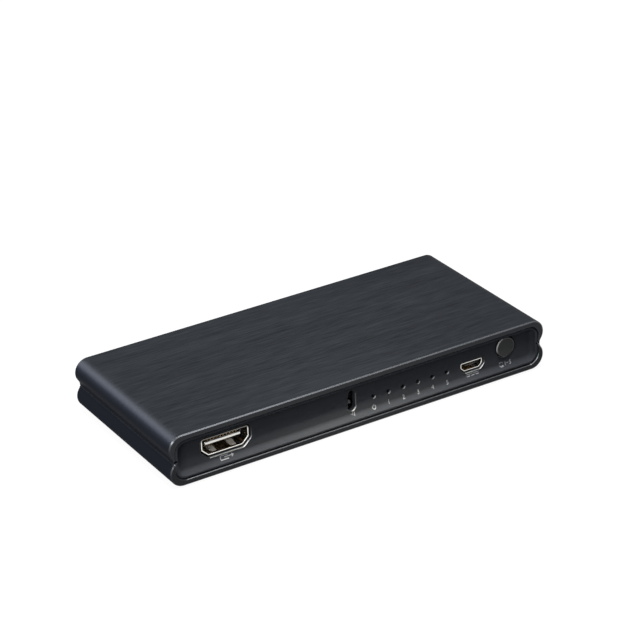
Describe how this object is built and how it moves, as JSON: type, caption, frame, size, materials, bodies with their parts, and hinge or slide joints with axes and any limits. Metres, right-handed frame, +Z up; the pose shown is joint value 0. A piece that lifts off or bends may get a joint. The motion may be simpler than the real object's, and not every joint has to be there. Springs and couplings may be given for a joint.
{
  "type": "hdmi switch box",
  "caption": "Flat black metal box that switches video inputs at its rear to an output at its front, with a select button, indicator holes, an infrared slot and a power socket.",
  "frame": {"origin": "middle of the box, on the surface that its feet stand on", "axes": "+X along the width to the right as seen from the front, +Y from front to rear, +Z up"},
  "size_m": [0.124, 0.056, 0.0162],
  "materials": {
    "case_metal": "black anodised, fine brushing along the length of the lid",
    "panel_plastic": "fine matt moulded plastic with pale printed marks",
    "button_plastic": "satin moulded plastic",
    "foot_rubber": "matt rubber",
    "screw_steel": "blackened steel",
    "board_laminate": "green solder mask",
    "socket_steel": "bright nickel plate",
    "socket_plastic": "black moulded plastic",
    "contact_gold": "gold flash",
    "switch_plastic": "black moulded plastic",
    "switch_steel": "tinned steel",
    "lamp_epoxy": "clear moulded epoxy",
    "receiver_epoxy": "black infrared-clear epoxy",
    "tinned_wire": "tinned",
    "chip_epoxy": "black moulded epoxy",
    "can_metal": "drawn metal can",
    "chip_ceramic": "fired ceramic",
    "resistor_glaze": "black glaze"
  },
  "bodies": {
    "case": {"upper_shell": "case_metal", "lower_shell": "case_metal", "front_panel": "panel_plastic", "rear_panel": "panel_plastic", "rubber_feet": "foot_rubber", "case_screws": "screw_steel", "main_board": "board_laminate", "video_out_shell": "socket_steel", "power_socket_shell": "socket_steel", "video_in_shell_1": "socket_steel", "video_in_shell_2": "socket_steel", "video_in_shell_3": "socket_steel", "video_in_shell_4": "socket_steel", "video_in_shell_5": "socket_steel", "video_out_insulator": "socket_plastic", "power_socket_insulator": "socket_plastic", "video_in_insulator_1": "socket_plastic", "video_in_insulator_2": "socket_plastic", "video_in_insulator_3": "socket_plastic", "video_in_insulator_4": "socket_plastic", "video_in_insulator_5": "socket_plastic", "video_out_contacts": "contact_gold", "power_socket_contacts": "contact_gold", "video_in_contacts_1": "contact_gold", "video_in_contacts_2": "contact_gold", "video_in_contacts_3": "contact_gold", "video_in_contacts_4": "contact_gold", "video_in_contacts_5": "contact_gold", "switch_body": "switch_plastic", "switch_cover": "switch_steel", "switch_dome": "switch_steel", "switch_terminals": "switch_steel", "led_1": "lamp_epoxy", "led_2": "lamp_epoxy", "led_3": "lamp_epoxy", "led_4": "lamp_epoxy", "led_5": "lamp_epoxy", "led_6": "lamp_epoxy", "ir_receiver": "receiver_epoxy", "led_leads": "tinned_wire", "ir_receiver_leads": "tinned_wire", "video_chip_pins": "tinned_wire", "controller_chip_pins": "tinned_wire", "regulator_leads": "tinned_wire", "video_chip": "chip_epoxy", "controller_chip": "chip_epoxy", "voltage_regulator": "chip_epoxy", "capacitor_base": "chip_epoxy", "crystal": "can_metal", "bulk_capacitor": "can_metal", "chip_capacitors": "chip_ceramic", "chip_resistors": "resistor_glaze"},
    "button": {"select_button": "button_plastic", "switch_plunger": "switch_plastic"}
  },
  "joints": [
    {"name": "select_press", "type": "slide", "parent": "case", "child": "button", "axis": [0, 1, 0], "range_m": [0, 0.0003], "stiffness_N_per_m": 5000, "springref_m": -0.0001, "deforming": ["switch_dome"]}
  ]
}
